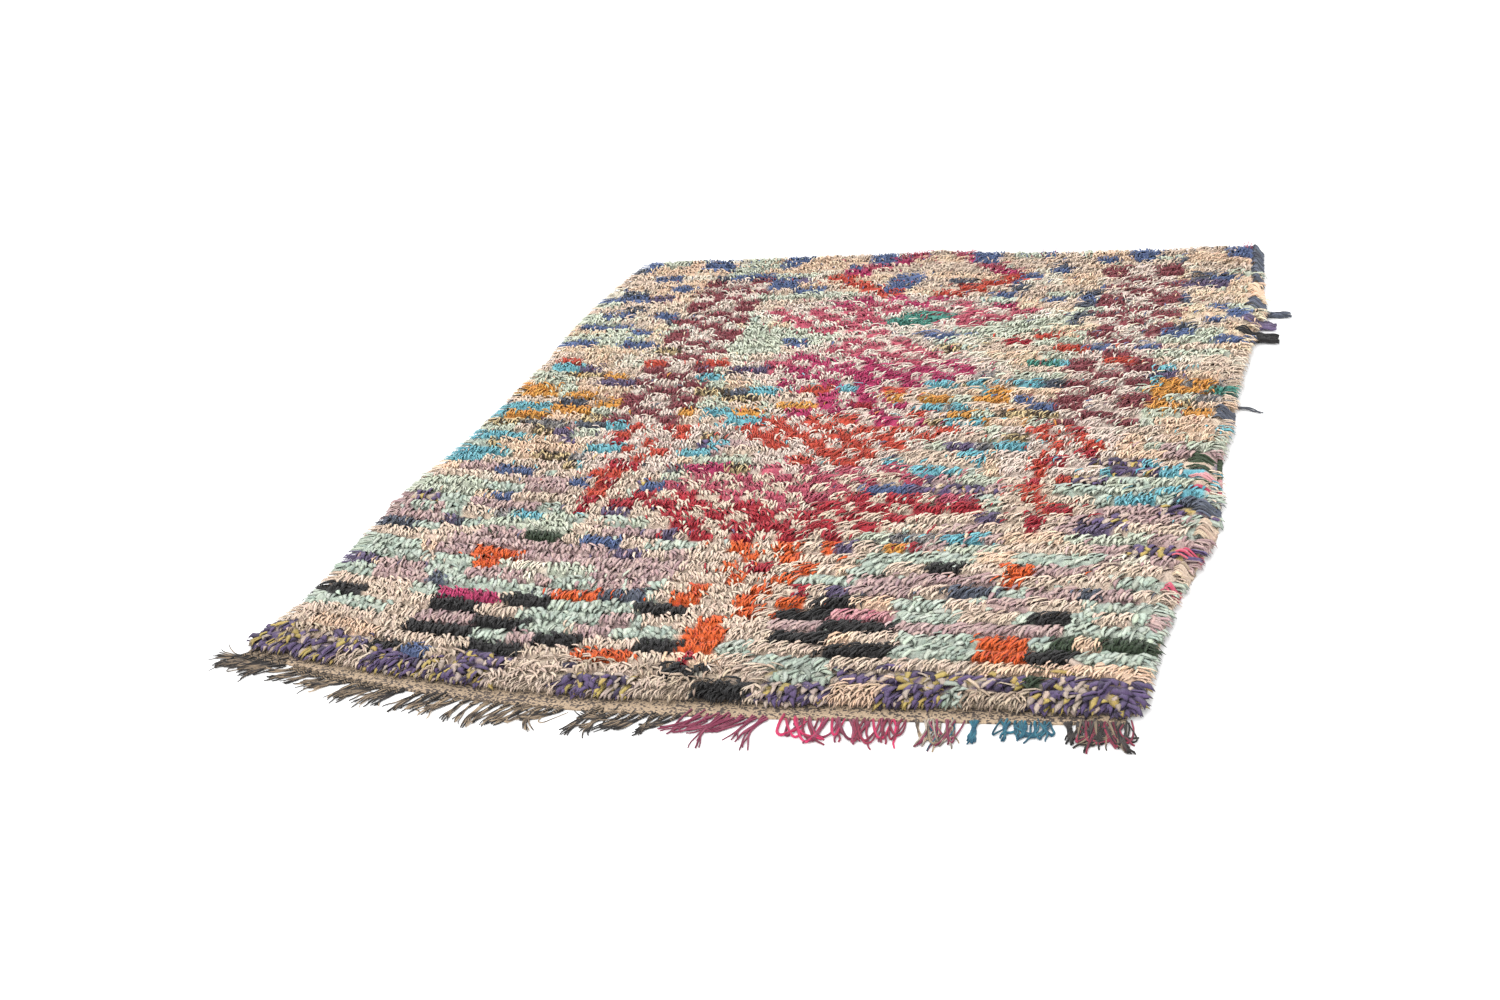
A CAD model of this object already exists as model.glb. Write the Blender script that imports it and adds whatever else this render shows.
"""The looks of the boucherouite rug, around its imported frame, for Blender 4.5.

The shag is made knot by knot: every row of rag knots is a run of closed strips that lie
towards the near end, over the roots of the row before. A chart of rows and knots, laid out
by rules, says which cloth each strip is torn from. Under the strips lies the woven ground
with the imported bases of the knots. Bands, side cords, rag ends and fringe finish the rim.
Metres, +Z up, +Y towards the far end, as in the frame.
"""
import math
import random

import bpy
import numpy as np
from mathutils import Matrix, Vector


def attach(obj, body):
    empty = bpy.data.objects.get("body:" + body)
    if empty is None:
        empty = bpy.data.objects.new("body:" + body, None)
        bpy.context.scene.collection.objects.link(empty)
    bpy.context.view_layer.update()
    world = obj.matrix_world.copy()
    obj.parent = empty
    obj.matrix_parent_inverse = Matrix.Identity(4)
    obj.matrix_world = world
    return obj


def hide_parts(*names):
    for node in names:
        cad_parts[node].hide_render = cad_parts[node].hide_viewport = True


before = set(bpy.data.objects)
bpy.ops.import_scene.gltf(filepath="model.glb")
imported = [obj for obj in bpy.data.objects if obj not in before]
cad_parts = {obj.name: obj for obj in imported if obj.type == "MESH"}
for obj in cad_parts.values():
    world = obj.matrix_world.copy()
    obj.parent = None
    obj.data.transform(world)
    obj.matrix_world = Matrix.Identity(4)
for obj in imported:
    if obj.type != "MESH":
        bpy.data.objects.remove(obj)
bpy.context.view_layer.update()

# Outline of the pile field, as in the part's source: (place along the edge, offset)
LEFT_EDGE = [(-0.88, -0.716), (-0.76, -0.690), (-0.65, -0.694), (-0.50, -0.708), (-0.35, -0.722),
             (-0.16, -0.708), (-0.04, -0.710), (0.10, -0.718), (0.25, -0.725), (0.40, -0.744),
             (0.66, -0.753), (0.85, -0.742)]
RIGHT_EDGE = [(-0.88, 0.722), (-0.84, 0.730), (-0.72, 0.732), (-0.60, 0.738), (-0.50, 0.757),
              (-0.38, 0.777), (-0.25, 0.771), (-0.12, 0.760), (0.01, 0.765), (0.12, 0.759),
              (0.35, 0.766), (0.50, 0.780), (0.60, 0.768), (0.84, 0.747)]
NEAR_EDGE = [(-0.74, -0.872), (-0.50, -0.905), (-0.25, -0.926), (0.00, -0.922),
             (0.25, -0.902), (0.50, -0.876), (0.74, -0.860)]
FAR_EDGE = [(-0.76, 0.832), (-0.62, 0.838), (-0.50, 0.830), (-0.38, 0.845), (0.00, 0.850),
            (0.40, 0.834), (0.75, 0.840)]

# The pile, as in the part's source
ROWS = 53
TIP_STEP = 0.18
CREST = 0.026
TROUGH = 0.0185
LUMP = 0.0035
RIDGE_LINE = [(-0.40, 0.105), (0.08, 0.027), (0.50, 0.030)]
RIDGE_HEIGHT = 0.007
RIDGE_WIDTH = 0.030
RIDGE_START = -0.35
RIDGE_FULL = 0.10

# Side cords, end bands and fringe, as in the part's source
GAP = 0.0003
CORD_WIDTH = 0.008
CORD_HEIGHT = 0.0035
BAND_NEAR = [(-0.72, 0.021), (-0.45, 0.034), (0.50, 0.032), (0.72, 0.020)]
BAND_FAR = 0.018
BAND_HEIGHT = 0.0035
BUNCH_KNOT = 0.012

SEED = 11
RUG_LENGTH = 1.77
RUG_WIDTH = 1.48

# Camera, in metres and degrees
EYE = (1.038, -2.541, 1.285)
YAW = 25.64
PITCH = 27.59
ROLL = -10.41
LENS = 37.18

# Cloths that the rags are torn from: width of a strip, and its colours with their shares
CLOTHS = {
    "cream": (0.0052, [((231, 208, 187), 0.7), ((213, 189, 169), 0.3)]),
    "ivory": (0.0050, [((238, 218, 204), 0.75), ((224, 199, 186), 0.25)]),
    "pale": (0.0052, [((241, 228, 208), 1.0)]),
    "peach": (0.0048, [((246, 211, 182), 0.8), ((238, 199, 168), 0.2)]),
    "taupe": (0.0050, [((212, 190, 166), 0.6), ((184, 160, 140), 0.4)]),
    "mint": (0.0115, [((187, 197, 182), 0.7), ((163, 177, 164), 0.3)]),
    "pale_mint": (0.0066, [((203, 208, 188), 0.8), ((186, 194, 174), 0.2)]),
    "mauve": (0.0078, [((198, 170, 164), 0.55), ((176, 146, 146), 0.45)]),
    "pink": (0.0066, [((214, 154, 158), 0.7), ((198, 118, 134), 0.3)]),
    "rose": (0.0042, [((204, 98, 116), 0.6), ((190, 74, 100), 0.4)]),
    "orange": (0.0050, [((236, 102, 40), 0.8), ((212, 78, 38), 0.2)]),
    "amber": (0.0053, [((236, 166, 76), 0.8), ((218, 142, 62), 0.2)]),
    "vermilion": (0.0042, [((216, 82, 60), 0.8), ((194, 66, 58), 0.2)]),
    "red": (0.0050, [((188, 44, 58), 0.8), ((162, 36, 50), 0.2)]),
    "crimson": (0.0052, [((172, 32, 50), 1.0)]),
    "magenta": (0.0044, [((194, 54, 106), 0.8), ((172, 60, 96), 0.2)]),
    "maroon": (0.0042, [((148, 72, 80), 0.8), ((126, 60, 66), 0.2)]),
    "black": (0.0056, [((33, 31, 32), 1.0)]),
    "blue": (0.0042, [((98, 118, 164), 0.7), ((82, 98, 138), 0.3)]),
    "slate": (0.0050, [((98, 104, 120), 0.6), ((70, 75, 86), 0.4)]),
    "cyan": (0.0052, [((124, 194, 206), 0.8), ((100, 174, 192), 0.2)]),
    "teal": (0.0050, [((84, 156, 140), 0.7), ((52, 112, 100), 0.3)]),
    "green": (0.0053, [((54, 70, 48), 1.0)]),
    "marl": (0.0036, [((136, 132, 134), 0.4), ((196, 188, 180), 0.3), ((76, 80, 90), 0.3)]),
    "floral": (0.0125, [((102, 84, 124), 0.44), ((194, 170, 98), 0.16), ((198, 178, 164), 0.26),
                        ((68, 56, 84), 0.14)]),
    "leopard": (0.0050, [((228, 202, 152), 0.54), ((62, 45, 32), 0.46)]),
    "purple": (0.0050, [((110, 96, 128), 0.8), ((86, 74, 104), 0.2)]),
}
NAMES = list(CLOTHS)
CLOTH_WIDTHS = np.array([width for width, _ in CLOTHS.values()])
PALE_FLOOR = (0.86, 0.86, 0.86)

# What each zone of the chart is knotted from, with the shares of its cloths
MIXES = {
    "border_floral": {"floral": 62, "taupe": 14, "cream": 10, "mauve": 7, "purple": 7},
    "border_plain": {"taupe": 46, "cream": 32, "floral": 12, "mauve": 6, "pale": 4},
    "first_cream": {"cream": 60, "taupe": 8, "peach": 18, "mint": 14},
    "cream_mint": {"cream": 50, "mint": 30, "pale": 5, "mauve": 6, "peach": 9},
    "mauve_mint": {"mint": 35, "mauve": 27, "cream": 24, "pale": 6, "pale_mint": 5, "slate": 2, "peach": 3,
                   "purple": 2},
    "mauve_floral": {"mauve": 20, "cream": 18, "mint": 18, "pale_mint": 10, "peach": 6, "floral": 12,
                     "purple": 6, "cyan": 3, "slate": 2, "blue": 2, "marl": 3},
    "pale_band": {"pale": 55, "pale_mint": 30, "cream": 15},
    "cyan_cream": {"cream": 22, "peach": 15, "pale_mint": 15, "mint": 9, "cyan": 9, "purple": 5,
                   "leopard": 5, "marl": 8, "mauve": 6, "floral": 6},
    "stripes": {"peach": 20, "pale_mint": 16, "cream": 20, "amber": 10, "cyan": 11, "marl": 9,
                "leopard": 8, "slate": 4, "maroon": 2},
    "cream_side": {"cream": 38, "pale": 18, "pale_mint": 20, "peach": 14, "cyan": 5, "purple": 5},
    "blue_peach": {"peach": 28, "cream": 22, "blue": 20, "pale_mint": 16, "slate": 7, "purple": 4, "marl": 3},
    "mint_cream": {"pale_mint": 34, "cream": 30, "peach": 13, "pale": 11, "mint": 5, "blue": 4, "rose": 3},
    "peach_blue": {"peach": 34, "cream": 24, "blue": 14, "pale_mint": 14, "pale": 5, "slate": 6, "purple": 3},
}
SHORT_RUNS = "purple blue slate cyan marl leopard amber maroon rose floral".split()
SHORT_SHARE = 0.62

# Zones of the chart: first row, row past the last, from and to across, run of one cloth, mix
ZONES = [
    (0, 1, 0.00, 0.14, 0.060, "border_floral"),
    (0, 1, 0.14, 0.27, 0.040, "border_plain"),
    (0, 1, 0.27, 0.46, 0.060, "border_floral"),
    (0, 1, 0.46, 0.68, 0.050, "border_plain"),
    (0, 1, 0.68, 0.78, 0.060, "border_floral"),
    (0, 1, 0.78, 0.88, 0.045, "border_plain"),
    (0, 1, 0.88, 1.00, 0.060, "border_floral"),
    (1, 2, 0.00, 0.15, 0.060, "border_floral"),
    (1, 2, 0.15, 0.28, 0.050, "border_plain"),
    (1, 2, 0.28, 0.50, 0.055, "border_floral"),
    (1, 2, 0.50, 0.64, 0.050, "border_plain"),
    (1, 2, 0.64, 1.00, 0.060, "border_floral"),
    (2, 3, 0.00, 1.00, 0.080, "first_cream"),
    (3, 7, 0.00, 1.00, 0.085, "cream_mint"),
    (7, 13, 0.00, 1.00, 0.070, "mauve_mint"),
    (13, 20, 0.00, 1.00, 0.054, "mauve_floral"),
    (16, 19, 0.00, 0.10, 0.090, "pale_band"),
    (20, 26, 0.00, 1.00, 0.058, "cyan_cream"),
    (26, 33, 0.00, 1.00, 0.055, "stripes"),
    (33, 36, 0.00, 1.00, 0.055, "cream_side"),
    (36, 46, 0.00, 0.16, 0.050, "blue_peach"),
    (36, 46, 0.16, 0.76, 0.070, "mint_cream"),
    (36, 46, 0.76, 1.00, 0.050, "blue_peach"),
    (46, 53, 0.00, 1.00, 0.055, "peach_blue"),
]

# Lozenges that stand one on the other up the middle: centre across, lowest, widest and highest
# row, half width, width of one cell with its gap, the cell's share of it, cloths below and above
LOZENGES = [
    (0.525, 12, 16, 22, 0.222, 0.054, 0.60, "red", "rose"),
    (0.535, 21, 25, 29, 0.170, 0.054, 0.60, "vermilion", "magenta"),
    (0.505, 29, 33, 38, 0.190, 0.060, 0.60, "magenta", "rose"),
    (0.500, 38, 42, 45, 0.210, 0.062, 0.60, "rose", "magenta"),
]

# Side columns of ovals: centre across at the bottom and at the top, first and last row, half width
COLUMNS_OF_OVALS = [
    (0.235, 0.215, 26, 49, 0.050),
    (0.845, 0.842, 26, 50, 0.048),
]

# Branching figures: across at the tip, first and last row, spread to each side at the top
BRANCHES = [
    (0.268, 15, 26, 0.062),
    (0.815, 14, 26, 0.056),
]

# The stem under the lowest lozenge: cloth, row, from across, length across
STEM = [
    ("red", 2, 0.532, 0.014),
    ("orange", 3, 0.510, 0.050), ("orange", 4, 0.512, 0.048), ("orange", 5, 0.520, 0.026),
    ("orange", 6, 0.556, 0.024), ("orange", 6, 0.598, 0.014),
    ("orange", 7, 0.470, 0.034), ("orange", 7, 0.544, 0.026), ("orange", 7, 0.596, 0.030),
    ("orange", 8, 0.480, 0.026), ("orange", 8, 0.556, 0.022), ("crimson", 8, 0.606, 0.014),
    ("orange", 9, 0.520, 0.020), ("orange", 9, 0.574, 0.024),
    ("orange", 10, 0.500, 0.016), ("crimson", 10, 0.534, 0.028), ("orange", 10, 0.592, 0.020),
    ("orange", 11, 0.514, 0.026), ("orange", 11, 0.562, 0.024),
    ("orange", 12, 0.486, 0.032), ("orange", 12, 0.546, 0.026), ("orange", 12, 0.604, 0.024),
]

# Single runs of one cloth, put by hand: from across in thousandths, row, length across in thousandths
ACCENTS = {
    "black": [(0, 5, 70), (265, 6, 60), (170, 5, 70), (250, 4, 70), (165, 3, 100), (270, 2, 75),
              (345, 3, 55), (435, 6, 65), (465, 3, 55), (635, 7, 45), (605, 6, 55), (662, 5, 73),
              (610, 4, 66), (673, 3, 75), (885, 3, 55), (870, 6, 44), (735, 10, 40), (155, 1, 40),
              (525, 1, 45), (575, 0, 55)],
    "magenta": [(170, 6, 85), (230, 12, 30), (365, 20, 50)],
    "pink": [(660, 6, 67)],
    "mint": [(315, 5, 65), (420, 4, 80), (610, 2, 80), (750, 4, 80), (750, 3, 80), (910, 5, 90),
             (930, 3, 70), (730, 6, 70), (210, 7, 100), (600, 9, 70), (720, 7, 60), (830, 8, 46),
             (940, 9, 60), (300, 8, 70), (120, 9, 80), (823, 0, 16), (100, 17, 65), (830, 18, 60),
             (642, 1, 61)],
    "mauve": [(600, 5, 60), (380, 4, 50), (400, 5, 40), (60, 8, 60), (200, 8, 65), (670, 8, 67),
              (670, 9, 67), (860, 8, 50), (850, 10, 50), (105, 15, 65), (876, 16, 70), (737, 18, 40)],
    "orange": [(318, 7, 62), (410, 2, 65), (830, 3, 55), (830, 4, 50), (170, 10, 65), (180, 9, 40),
               (820, 10, 30), (826, 9, 22)],
    "slate": [(380, 7, 55), (776, 8, 54), (145, 25, 45), (330, 30, 30), (765, 31, 25)],
    "blue": [(200, 1, 35), (300, 12, 50), (605, 18, 60), (90, 19, 60), (215, 18, 30), (320, 18, 30),
             (365, 37, 40), (565, 38, 50), (760, 28, 30), (735, 29, 25), (10, 40, 60), (100, 39, 40),
             (100, 37, 65), (50, 42, 30), (935, 40, 25), (890, 38, 40), (955, 41, 35), (930, 42, 30),
             (800, 36, 30), (865, 36, 30), (20, 45, 60), (100, 47, 50), (270, 47, 50), (320, 46, 50),
             (670, 48, 30), (630, 45, 40), (710, 44, 30), (940, 47, 30), (120, 51, 60), (825, 51, 35)],
    "green": [(220, 12, 50), (891, 1, 20), (905, 4, 22), (950, 4, 50)],
    "cyan": [(180, 14, 40), (730, 13, 46), (894, 17, 46), (937, 18, 50), (940, 20, 50), (0, 21, 80),
             (0, 23, 85), (190, 22, 55), (330, 22, 45), (700, 22, 37), (744, 23, 36), (190, 25, 35),
             (365, 26, 45), (320, 27, 50), (0, 27, 90), (360, 30, 45), (610, 31, 40), (495, 30, 25),
             (615, 28, 30), (690, 30, 35), (730, 31, 35), (660, 26, 20), (270, 32, 35), (20, 33, 50),
             (900, 33, 25)],
    "amber": [(10, 26, 80), (80, 27, 65), (90, 29, 45), (10, 29, 60), (10, 30, 50), (145, 28, 35),
              (365, 27, 40), (610, 29, 40), (565, 29, 25), (655, 27, 35), (905, 28, 35), (905, 30, 40),
              (910, 31, 30), (950, 31, 30), (440, 28, 35), (700, 30, 30), (675, 12, 22)],
    "peach": [(713, 0, 50), (715, 26, 45), (715, 27, 30), (715, 28, 45), (930, 25, 60), (745, 39, 55),
              (30, 50, 90), (30, 51, 90), (290, 50, 90), (290, 51, 90), (760, 50, 40)],
    "teal": [(500, 40, 70), (515, 41, 75), (730, 34, 40), (970, 30, 30)],
    "purple": [(618, 12, 20), (310, 33, 60), (660, 18, 50), (120, 31, 60), (70, 33, 30), (355, 11, 40),
               (845, 19, 35), (900, 32, 30), (0, 8, 45)],
    "taupe": [(839, 0, 66)],
    "floral": [(645, 0, 68), (763, 0, 60), (905, 0, 95), (706, 1, 30), (745, 1, 145), (912, 1, 88),
               (10, 15, 50), (950, 16, 50), (675, 18, 60), (884, 20, 50), (930, 12, 70), (860, 21, 60),
               (845, 19, 30), (720, 18, 30)],
    "vermilion": [(725, 38, 35), (760, 36, 40), (20, 34, 40), (165, 34, 35), (265, 34, 40), (830, 34, 40),
                  (440, 30, 40), (555, 30, 35)],
    "crimson": [(700, 12, 12), (690, 37, 30), (525, 28, 30)],
    "leopard": [(280, 30, 50), (745, 24, 30), (165, 36, 45), (600, 36, 30), (140, 26, 35), (720, 27, 30),
                (60, 32, 60), (635, 26, 20), (940, 28, 20), (414, 20, 30)],
}

# Widths, lengths and heights of the strips, layer by layer: knots in a row, place of the root
# in its row, reach as a share of the row, drop of the top below the pile's
LAYERS = [
    (330, 1.06, 1.14, 0.0000),
    (270, 0.84, 1.00, 0.0013),
    (190, 0.55, 0.78, 0.0036),
]
CHART_COLUMNS = 500
ROW_TONE = [(0, 0.79), (2, 0.90), (5, 0.97), (9, 1.00), (24, 1.02), (32, 1.07), (40, 1.18), (46, 1.08),
            (52, 1.02)]
KEPT_WIDTH = 0.0065
ROOT_SCATTER = 0.08
SHORT_WAVE = 0.0052
LONG_WAVE = 0.006
REACH_SPREAD = 0.18
STRAY = 0.05
STRAY_SHARE = 0.13
LEAN_RIGHT = math.radians(20)
LEAN_LEFT = math.radians(-25)
LEAN_TURN = 0.06

# Rags wound over the right edge: middle y, length along the edge, reach onto the pile, cloth
WRAPS = [
    (0.765, 0.150, 0.016, "slate"), (0.655, 0.040, 0.014, "slate"), (0.585, 0.070, 0.022, "peach"),
    (0.520, 0.045, 0.030, "slate"), (0.440, 0.030, 0.034, "purple"), (0.385, 0.030, 0.030, "black"),
    (0.020, 0.050, 0.026, "slate"), (-0.165, 0.062, 0.046, "green"), (-0.215, 0.018, 0.042, "pink"),
    (-0.236, 0.014, 0.042, "green"), (-0.256, 0.014, 0.044, "rose"), (-0.320, 0.034, 0.034, "slate"),
    (-0.385, 0.050, 0.022, "taupe"), (-0.462, 0.018, 0.034, "rose"), (-0.510, 0.034, 0.018, "taupe"),
    (-0.562, 0.014, 0.018, "rose"),
]

# Which cloths make one piece of the scene, and the rows that it holds
PIECES = {
    "rags_cream_near": ("cream ivory pale peach taupe", 0, 27),
    "rags_cream_far": ("cream ivory pale peach taupe", 27, ROWS),
    "rags_mint": ("mint pale_mint mauve", 0, ROWS),
    "rags_red": ("pink rose orange amber vermilion red crimson magenta maroon", 0, ROWS),
    "rags_dark": ("black blue slate cyan teal green marl purple", 0, ROWS),
    "rags_print": ("floral leopard", 0, ROWS),
}

# Runs of fringe: from x, to x, bunches, lean and reach as in the part's source, then strands in a
# bunch, their thickness in yarns, share of them that are loops, and the yarns drawn from
FRINGE_RUNS = [
    (-0.712, -0.614, 6, 68, 0.082, 16, 0.9, 0.12, "marled charcoal marled"),
    (-0.600, -0.360, 16, 50, 0.068, 8, 0.95, 0.00, "marled pale_marl charcoal marled"),
    (-0.345, -0.075, 15, 34, 0.064, 8, 0.95, 0.06, "marled charcoal pale_marl"),
    (-0.040, 0.110, 9, 28, 0.064, 9, 0.95, 0.10, "marled charcoal marled"),
    (0.125, 0.240, 7, 32, 0.074, 5, 1.3, 0.05, "plum"),
    (0.265, 0.430, 8, -12, 0.070, 4, 1.5, 0.40, "plum plum pink plum rose"),
    (0.455, 0.500, 3, -10, 0.066, 8, 1.3, 0.30, "grey teal plum pale_marl"),
    (0.516, 0.532, 1, -14, 0.058, 9, 1.4, 0.00, "teal"),
    (0.560, 0.625, 5, -12, 0.046, 4, 1.4, 0.30, "teal"),
    (0.640, 0.656, 1, -25, 0.050, 8, 1.3, 0.00, "charcoal"),
    (0.672, 0.718, 3, -8, 0.066, 19, 1.4, 0.40, "charcoal charcoal marled rose"),
]
YARNS = {
    "marled": ((44, 39, 36), (128, 111, 92)),
    "pale_marl": ((156, 136, 112), (84, 72, 62)),
    "charcoal": ((28, 26, 26), (56, 50, 48)),
    "grey": ((126, 118, 108), (168, 156, 142)),
    "plum": ((112, 42, 66), (132, 64, 84)),
    "rose": ((132, 44, 66), (104, 38, 56)),
    "pink": ((188, 48, 92), (168, 42, 80)),
    "teal": ((32, 76, 96), (46, 98, 114)),
}


def linear(colour):
    """sRGB values from 0 to 255, as an array of any shape, to linear light."""
    c = np.asarray(colour, float) / 255
    return np.where(c <= 0.04045, c / 12.92, ((c + 0.055) / 1.055) ** 2.4)


def along(table, places):
    """Values of a short table at many places: a cubic between its points, level past its ends."""
    xs, ys = np.array(table).T
    places = np.clip(places, xs[0], xs[-1])
    slopes = np.gradient(ys, xs)
    slopes[1:-1] = (ys[2:] - ys[:-2]) / (xs[2:] - xs[:-2])
    i = np.clip(np.searchsorted(xs, places, side="right") - 1, 0, len(xs) - 2)
    step = xs[i + 1] - xs[i]
    u = (places - xs[i]) / step
    return (ys[i] * (2 * u ** 3 - 3 * u ** 2 + 1) + slopes[i] * step * (u ** 3 - 2 * u ** 2 + u)
            + ys[i + 1] * (3 * u ** 2 - 2 * u ** 3) + slopes[i + 1] * step * (u ** 3 - u ** 2))


def spread(chance, size):
    """Normal draws, cut at twice their deviation."""
    return chance.standard_normal(size).clip(-2, 2)


def smooth(low, high, value):
    """Rises from 0 to 1 between low and high."""
    u = np.clip((value - low) / (high - low), 0.0, 1.0)
    return u * u * (3 - 2 * u)


def on_rug(across, length):
    """World x and y of places: shares of the width from the left, and of the length from the near end."""
    x = LEFT_EDGE[0][1] * (1 - across) + RIGHT_EDGE[0][1] * across
    for _ in range(3):
        y = along(NEAR_EDGE, x) * (1 - length) + along(FAR_EDGE, x) * length
        x = along(LEFT_EDGE, y) * (1 - across) + along(RIGHT_EDGE, y) * across
    return x, y


def wander(x, y, size, seed):
    """Soft noise between -1 and 1: random values on a lattice of this size, blended between its points."""
    lattice = np.random.default_rng(seed).uniform(-1, 1, (64, 64))
    i, j = np.floor(x / size).astype(int), np.floor(y / size).astype(int)
    u, v = x / size - i, y / size - j
    u, v = u * u * (3 - 2 * u), v * v * (3 - 2 * v)
    i, j = i % 64, j % 64
    near = lattice[i, j] * (1 - u) + lattice[(i + 1) % 64, j] * u
    far = lattice[i, (j + 1) % 64] * (1 - u) + lattice[(i + 1) % 64, (j + 1) % 64] * u
    return near * (1 - v) + far * v


def swell(x, y):
    """Height added to the pile at a place: wide lumps, small lumps and the ridge down the middle."""
    ridge = np.exp(-((x - along(RIDGE_LINE, y)) / RIDGE_WIDTH) ** 2) * smooth(RIDGE_START, RIDGE_FULL, y)
    return LUMP * (0.8 * wander(x, y, 0.11, 3) + 0.6 * wander(x, y, 0.04, 4)) + RIDGE_HEIGHT * ridge


def put(chart, cloth, across, row, length):
    """Knots one run of a cloth into a row of the chart."""
    if 0 <= row < ROWS:
        first, last = (int(round(np.clip(p, 0, 1) * CHART_COLUMNS)) for p in (across, across + length))
        chart[row, first:last] = NAMES.index(cloth)


def knot_zones(chart, chance):
    """Fills each zone, from its far row to its near one, with runs drawn from its mix; some take two rows."""
    for low, high, left, right, run, mix in ZONES:
        names = list(MIXES[mix])
        shares = np.array(list(MIXES[mix].values()), float)
        for row in reversed(range(low, high)):
            place = left
            while place < right:
                cloth = names[chance.choice(len(names), p=shares / shares.sum())]
                short = cloth in SHORT_RUNS and row > 1
                length = min(run * chance.uniform(0.45, 1.6) * (SHORT_SHARE if short else 1.0), right - place)
                put(chart, cloth, place, row, length)
                if chance.random() < 0.25 and row + 1 < high and not short:
                    start = place + chance.uniform(-0.01, 0.01)
                    put(chart, cloth, start, row + 1, length * chance.uniform(0.5, 1))
                place += length


def knot_lozenges(chart, chance):
    """Lozenges of cells in brick order on cream: their reach is the lower of two slopes, to the power 0.8."""
    for centre, low, wide, high, half, period, cell, lower, upper in LOZENGES:
        for row in range(low, high + 1):
            share = min((row - low + 0.8) / (wide - low + 0.8), (high - row + 0.8) / (high - wide + 0.8))
            reach = half * share ** 0.8
            put(chart, "cream" if row < 20 else "ivory", centre - reach - 0.01, row, 2 * reach + 0.02)
            for k in range(-7, 8):
                middle = centre + (k + 0.5 * (row % 2) + chance.uniform(-0.1, 0.1)) * period
                length = period * cell * chance.uniform(0.8, 1.25) * (1 - 0.2 * smooth(wide, high, row))
                if abs(middle - centre) < reach and chance.random() < 0.95:
                    cloth = upper if chance.random() < smooth(wide - 1.0, wide + 3.5, row) else lower
                    put(chart, cloth, middle - 0.5 * length, row, length)


def knot_columns(chart, chance):
    """Columns of cream ovals between maroon: side blocks in one row, a short bar in the next."""
    for bottom, top, low, high, half in COLUMNS_OF_OVALS:
        for row in range(low, high):
            centre = bottom + (top - bottom) * (row - low) / (high - low) + chance.uniform(-0.004, 0.004)
            put(chart, "ivory", centre - half, row, 2 * half)
            if (row - low) % 5 in (0, 2, 3):
                for side in (-1, 1):
                    length = half * chance.uniform(0.62, 0.95)
                    put(chart, "maroon", centre + side * 0.78 * half - 0.5 * length, row, length)
            else:
                length = half * chance.uniform(0.7, 1.0)
                put(chart, "maroon", centre - 0.5 * length, row, length)


def knot_branches(chart, chance):
    """Branching figures on cream: a foot of single dashes, then two or three loose ones a row that spread."""
    for tip, low, high, spread in BRANCHES:
        for row in range(low, high):
            reach = spread * ((row - low) / (high - low)) ** 0.7
            put(chart, "cream" if row < 20 else "ivory", tip - reach - 0.025, row, 2 * reach + 0.05)
            count = 1 if row < low + 2 else 2 if row < high - 4 else 2 + row % 2
            for k in range(count):
                length = chance.uniform(0.014, 0.026)
                aside = chance.uniform(-0.020, 0.020) * (row > low + 1)
                middle = tip + reach * (2 * (k + 0.5) / count - 1) + aside
                cloth = "crimson" if row < low + 2 else "red" if chance.random() < 0.2 else "vermilion"
                if chance.random() < 0.80 or row < low + 2:
                    put(chart, cloth, middle - 0.5 * length, row, length)


def knot_stem(chart):
    """The stem under the lowest lozenge: a solid foot, then small diamonds apart on cream, up to its head."""
    for row in range(5, 13):
        put(chart, "cream", 0.45, row, 0.19)
    for cloth, row, start, length in STEM:
        put(chart, cloth, start, row, length)


def knot_apex(chart):
    """The open lozenge at the far end: arms of red below, of rose above, and a blue heart."""
    for row in range(45, 53):
        reach = 0.14 * min((row - 43.5) / 4.5, (53.6 - row) / 5.4)
        put(chart, "peach" if row % 3 == 0 else "cream", 0.52 - reach, row, 2 * reach)
        for side in (-1, 1):
            cloth = "vermilion" if row < 49 else "magenta" if row % 2 else "rose"
            put(chart, cloth, 0.52 + side * reach - 0.02, row, 0.045)
    for row in (46, 47, 48):
        put(chart, "blue", 0.46 + 0.006 * (row % 2), row, 0.055)
    put(chart, "slate", 0.56, 47, 0.04)
    for across in (0.12, 0.26, 0.41, 0.58, 0.82, 0.96):
        put(chart, "blue", across, 51, 0.04)
        put(chart, "blue", across - 0.005, 52, 0.05)


def chart_of_knots():
    """The cloth of every knot: zones of mixed runs first, then the figures, then the single accents."""
    chance = np.random.default_rng(SEED)
    chart = np.zeros((ROWS, CHART_COLUMNS), int)
    knot_zones(chart, chance)
    knot_branches(chart, chance)
    knot_columns(chart, chance)
    knot_lozenges(chart, chance)
    knot_stem(chart)
    knot_apex(chart)
    for cloth, runs in ACCENTS.items():
        for across, row, length in runs:
            put(chart, cloth, across / 1000, row, length / 1000)
    return chart


def rag_colours(cloths, chance, rows=9):
    """A colour for each rag, drawn from its cloth's colours by share, varied and then toned as its row is."""
    colours = np.zeros((len(cloths), 3))
    for index, name in enumerate(NAMES):
        mine = np.flatnonzero(cloths == index)
        shades, shares = zip(*CLOTHS[name][1])
        picks = chance.choice(len(shades), len(mine), p=np.array(shares) / sum(shares))
        colours[mine] = linear(shades)[picks]
    tone = 1 + 0.10 * spread(chance, (len(cloths), 1))
    tint = 1 + 0.02 * spread(chance, (len(cloths), 3))
    return (colours * tone * tint * along(ROW_TONE, np.asarray(rows, float).reshape(-1, 1))).clip(0.002, 0.95)


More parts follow.
